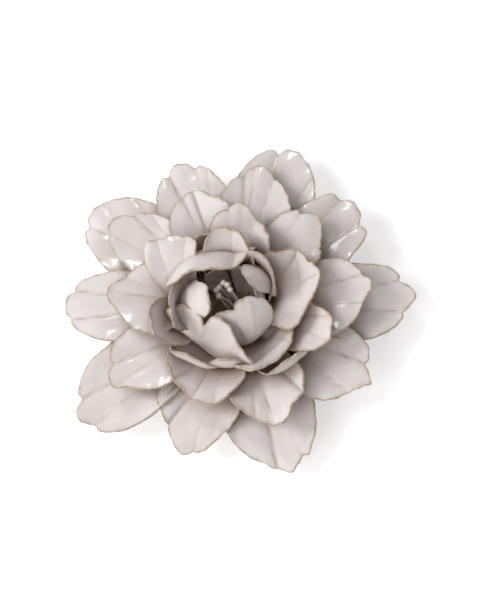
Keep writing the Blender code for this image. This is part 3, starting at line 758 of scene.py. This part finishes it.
def closedIn(vert, index, neighbours):
    # how much stands close by, 0 to 1, found with short rays that lean towards the sky
    count, reach = paintedShadeLook["rays"], paintedShadeLook["reach"] * mm
    turn = (vert.normal + Vector((0, 0, paintedShadeLook["sky"]))).to_track_quat("Z", "Y").to_matrix()
    start = vert.co + vert.normal * paintedShadeLook["lift"] * mm
    total, tried = 0, 0.01  # never nought, as it divides
    for i in range(count):
        share = (i + 0.5) / count
        angle = goldenAngle * i + paintedShadeLook["fanTurn"] * index
        side = math.sqrt(share)
        ray = turn @ Vector((side * math.cos(angle), side * math.sin(angle), math.sqrt(1 - share)))
        if ray.dot(vert.normal) > paintedShadeLook["flattest"]:
            distance = neighbours.ray_cast(start, ray, reach)[3]
            total += 0 if distance is None else 1 - distance / reach
            tried += 1
    return total / tried


def paintRecessShade(sheet, neighbours):
    # paints shade into the glaze colour in the hollows, darker where other petals stand close by
    layers = sheet.verts.layers.float
    paintedDark, below = layers["paintedRecessShade"], layers["below"]
    sheet.normal_update()
    sheet.verts.index_update()
    closed = [closedIn(vert, index, neighbours) for index, vert in enumerate(sheet.verts)]
    for _ in range(paintedShadeLook["smoothing"]):
        around = [sum(closed[edge.other_vert(vert).index] for edge in vert.link_edges) / len(vert.link_edges)
                  for vert in sheet.verts]
        closed = [0.5 * own + 0.5 * near for own, near in zip(closed, around)]
    for vert, share in zip(sheet.verts, closed):
        low, high = paintedShadeLook["below" if vert[below] else "above"]
        share = min(1, max(0, (share - low) / (high - low))) ** paintedShadeLook["power"]
        vert[paintedDark] = min(1, vert[paintedDark] * (1 - vert[below]) + share)


def treeOf(sheets):
    # all the petals' sheets as one thing for rays to meet
    corners, faces = [], []
    for sheet in sheets:
        first = len(corners)
        corners += [vert.co.copy() for vert in sheet.verts]
        sheet.verts.index_update()
        faces += [[first + vert.index for vert in face.verts] for face in sheet.faces]
    return BVHTree.FromPolygons(corners, faces)


def addPetals(group):
    # the petals' glaze darkens with painted shade in the hollows and at the bases, from a mesh attribute
    glaze = glazeMaterial("petalGlaze", group, 0.35, glazeLook["body"], Rim_Distance="rimDistance",
                          Crease="crease", Depth="paintedRecessShade")
    sheets = {name: petalSheet(name, unevenness["seedStep"] * index) for index, name in enumerate(petals)}
    neighbours = treeOf(sheets.values())
    for name, sheet in sheets.items():
        thicken(sheet)
        paintRecessShade(sheet, neighbours)
        piece = addPiece(name + "_glazed", meshOf(sheet, name + "_glazed"), glaze, name)
        rounding = piece.modifiers.new("rounding", "SUBSURF")
        rounding.levels = 1
        rounding.render_levels = 1
        rounding.use_limit_surface = False
    print(len(petals), "petals made")


def spun(outline, steps):
    # a solid of revolution from radius and height pairs, both ends on the axis
    body = bmesh.new()
    verts = [body.verts.new((radius * mm, 0, height * mm)) for radius, height in outline]
    edges = [body.edges.new(pair) for pair in zip(verts, verts[1:])]
    bmesh.ops.spin(body, geom=verts + edges, cent=(0, 0, 0), axis=(0, 0, 1), angle=2 * math.pi, steps=steps,
                   use_merge=True)
    bmesh.ops.remove_doubles(body, verts=body.verts, dist=0.001 * mm)
    bmesh.ops.recalc_face_normals(body, faces=body.faces)
    return body


# the foot's radius and height come from the frame; rings are turned into its underside, from ringInset
# off its edge to ringHole off its middle
footShape = {"edge": 0.7, "ringInset": 1.2, "ringHole": 1.1, "ringDepth": 0.12, "rings": 9, "ringSteps": 90,
             "steps": 96}
clayLook = {"pale": linear(196, 178, 157), "dark": linear(168, 147, 124), "roughness": (0.65, 0.85),
            "fineScale": 900, "broadScale": 60, "fineShare": 0.6}


def bareClay(look):
    material, tree = newMaterial("bareClay")
    position = addNode(tree, "TexCoord").outputs["Object"]
    fine = grain(tree, position, look["fineScale"], 4, 0.65)
    broad = grain(tree, position, look["broadScale"], 3)
    fineTone = maths(tree, "MULTIPLY", fine, look["fineShare"])
    tone = maths(tree, "MULTIPLY_ADD", broad, 1 - look["fineShare"], fineTone)
    colour = mixColour(tree, ramp(tree, tone, 0.35, 0.65), look["dark"], look["pale"])
    roughness = ramp(tree, fine, 0.2, 0.8, *look["roughness"])
    bump = feed(tree, addNode(tree, "Bump"), Strength=0.5, Distance=bumpDepth, Height=fine)
    feed(tree, tree.nodes["Principled BSDF"], Base_Color=colour, Roughness=roughness, Normal=bump.outputs[0])
    return material


def addFoot(shape):
    radius, _, height = (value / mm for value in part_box("foot")[1])
    edge = shape["edge"]
    corner = [(radius - edge + edge * math.sin(a), edge - edge * math.cos(a))
              for a in (math.radians(15 * i) for i in range(7))]
    outline = [(0, height)] + [(r, height - z) for r, z in corner] + [(r, z) for r, z in reversed(corner)]
    first = radius - edge - shape["ringInset"]
    for i in range(1, shape["ringSteps"] + 1):
        share = i / shape["ringSteps"]
        wave = 0.5 - 0.5 * math.cos(2 * math.pi * shape["rings"] * share)
        outline.append((first - (first - shape["ringHole"]) * share, shape["ringDepth"] * wave))
    body = spun(outline + [(0, 0)], shape["steps"])
    addPiece("foot_turned", meshOf(body, "foot_turned"), bareClay(clayLook), "foot")


receptacleShape = {
    "outline": ((0, 20), (3, 20), (5.5, 19.9), (8, 19), (9.5, 18.1), (11.5, 16.9), (13, 15.4), (14.6, 13.6),
                (15.6, 11.9), (16.5, 10), (17, 8), (17, 4.3), (0, 4.3)),
    "steps": 72, "lumps": 0.012, "lumpScale": 260, "lumpsAbove": 8,
}


def addReceptacle(group, shape):
    body = spun(shape["outline"], shape["steps"])
    for vert in body.verts:
        if vert.co.z > shape["lumpsAbove"] * mm:
            vert.co *= 1 + shape["lumps"] * noise.noise(vert.co * shape["lumpScale"])
    # painted shade: the receptacle's glaze is the deep brown of painted shade, with more painted shade mixed
    # in
    glaze = glazeMaterial("receptacleGlazePaintedShade", group, 0.3, glazeLook["deep"], Depth=0.6)
    addPiece("receptacle_glazed", meshOf(body, "receptacle_glazed"), glaze, "receptacle")
    print("foot and receptacle made")


# base and tip of each stamen: x and y, then x, y and z
stamens = [
    (-2.6, -0.5, -4.9, 3.7, 34.5), (-2.2, 2.4, -3.7, 5.1, 34), (0.2, 2.9, -1.5, 6.3, 36),
    (2.6, -1.2, 1.2, 3.4, 35), (2.3, 1.6, 0.3, 5.2, 36), (-0.2, -0.2, -4, 1.3, 34),
]
stamenShape = {"baseHeight": 20.1, "thick": 0.62, "thin": 0.42, "head": 1.25, "flatten": 0.96, "lumps": 0.22,
               "lumpScale": 1.3, "lumpStep": 5.1, "bow": 0.55, "sides": 14, "rings": 18}


def stamenBody(shape, index, low, high):
    # a tapered, bowed stalk with a lumpy head
    side = (high - low).cross(Vector((0, 0, 1))).normalized() * shape["bow"] * (-1) ** index
    turn = (high - low).to_track_quat("Z", "Y").to_matrix()
    body = bmesh.new()
    bmesh.ops.create_cone(body, cap_ends=True, segments=shape["sides"], radius1=1, radius2=1, depth=1)
    upright = [edge for edge in body.edges if abs(edge.verts[0].co.z - edge.verts[1].co.z) > 0.5]
    bmesh.ops.subdivide_edges(body, edges=upright, cuts=shape["rings"], use_grid_fill=True)
    for vert in body.verts:
        share = vert.co.z + 0.5
        thick = shape["thick"] + (shape["thin"] - shape["thick"]) * share
        ring = turn @ Vector((vert.co.x * thick, vert.co.y * thick, 0))
        vert.co = (low.lerp(high, share) + side * 4 * share * (1 - share) + ring) * mm
    for vert in bmesh.ops.create_icosphere(body, subdivisions=3, radius=1)["verts"]:
        spot = vert.co * shape["lumpScale"] + Vector((index * shape["lumpStep"], 0, 0))
        lump = 1 + shape["lumps"] * noise.noise(spot)
        knob = turn @ Vector((vert.co.x, vert.co.y, vert.co.z * shape["flatten"]))
        vert.co = (high + knob * shape["head"] * lump) * mm
    return body


def addStamens(group, shape):
    glaze = glazeMaterial("stamenGlaze", group, 0.3, glazeLook["stamen"])
    for index, (baseX, baseY, *tip) in enumerate(stamens, 1):
        body = stamenBody(shape, index, Vector((baseX, baseY, shape["baseHeight"])), Vector(tip))
        name = f"stamen_{index}"
        addPiece(name + "_glazed", meshOf(body, name + "_glazed"), glaze, name)
    print(len(stamens), "stamens made")


# softness is how many degrees across each sun is, and towards is where it stands
suns = {
    "window": dict(strength=1.42, softness=28, towards=(-0.95, 0.15, 0.95), mirrored=False),
    "front": dict(strength=1.05, softness=44, towards=(-0.6, -0.75, 0.7), mirrored=False),
    "glint": dict(strength=0.32, softness=9, towards=(-0.21, 0.7, 0.68), mirrored=True),
}
studio = {"floor": linear(238, 237, 237), "floorGlow": 0.42, "floorSize": 6, "fill": 0.45}


def raySwitch(tree):
    # 1 where the camera, a mirror or glass looks, so that the background shows white there and lights nothing
    path = addNode(tree, "LightPath").outputs
    seen = maths(tree, "MAXIMUM", path["Is Camera Ray"], path["Is Glossy Ray"])
    return maths(tree, "MAXIMUM", seen, path["Is Transmission Ray"])


def addSun(name, strength, softness, towards, mirrored):
    sun = bpy.data.lights.new(name, "SUN")
    sun.energy = strength
    sun.angle = math.radians(softness)
    lamp = bpy.data.objects.new(name, sun)
    scene.collection.objects.link(lamp)
    lamp.rotation_euler = Vector(towards).to_track_quat("Z", "Y").to_euler()
    lamp.visible_glossy = mirrored


def addStudio(look):
    world = bpy.data.worlds.new("studio")
    world.use_nodes = True
    scene.world = world
    tree = world.node_tree
    strength = maths(tree, "MULTIPLY_ADD", raySwitch(tree), 1 - look["fill"], look["fill"])
    feed(tree, tree.nodes["Background"], Color=(1.0, 1.0, 1.0), Strength=strength)
    body = bmesh.new()
    bmesh.ops.create_grid(body, x_segments=1, y_segments=1, size=look["floorSize"] / 2)
    floor = bpy.data.objects.new("floor", meshOf(body, "floor"))
    scene.collection.objects.link(floor)
    material, tree = newMaterial("floorPaper")
    glow = maths(tree, "MULTIPLY", raySwitch(tree), look["floorGlow"])
    feed(tree, tree.nodes["Principled BSDF"], Base_Color=look["floor"], Roughness=0.9,
         Emission_Color=(1.0, 1.0, 1.0), Emission_Strength=glow)
    floor.data.materials.append(material)
    for name, settings in suns.items():
        addSun(name, **settings)
    print("floor and light set")


addCamera(view)
addStudio(studio)
scene.view_settings.view_transform = "Standard"
glazeGroup = glazeOverClay(glazeLook)
addFoot(footShape)
addReceptacle(glazeGroup, receptacleShape)
addStamens(glazeGroup, stamenShape)
addPetals(glazeGroup)
